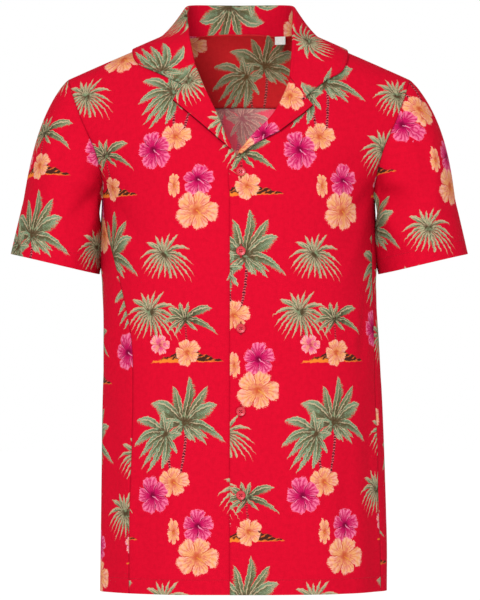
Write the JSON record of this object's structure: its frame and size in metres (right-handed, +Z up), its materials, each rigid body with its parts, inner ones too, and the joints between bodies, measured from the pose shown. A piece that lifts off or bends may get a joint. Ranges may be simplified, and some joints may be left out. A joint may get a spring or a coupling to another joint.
{
  "type": "short-sleeved shirt",
  "caption": "Short-sleeved camp-collar shirt in a bright tropical print, buttoned at the front and filled out as if worn, with open neck, cuffs and hem.",
  "frame": {"origin": "the point midway between the two side neck points, 11 mm below them, where a neck or neck stand holds the shirt", "axes": "+Z up towards the neck, -Y out of the buttoned front, +X to the wearer's left"},
  "size_m": [0.6114, 0.2682, 0.7896],
  "materials": {
    "printed_cloth": "matte light plain weave, printed",
    "printed_facing": "matte light plain weave, printed",
    "button": "semi-gloss",
    "label": "matte woven tape, blank"
  },
  "bodies": {
    "root": {"front_left": "printed_cloth", "front_right": "printed_cloth", "back": "printed_cloth", "yoke": "printed_cloth", "collar": "printed_cloth", "lapel_left": "printed_cloth", "lapel_right": "printed_cloth", "sleeve_left": "printed_cloth", "sleeve_right": "printed_cloth", "yoke_facing": "printed_facing", "button_1": "button", "button_2": "button", "button_3": "button", "button_4": "button", "button_5": "button", "size_tab": "label"}
  },
  "joints": []
}
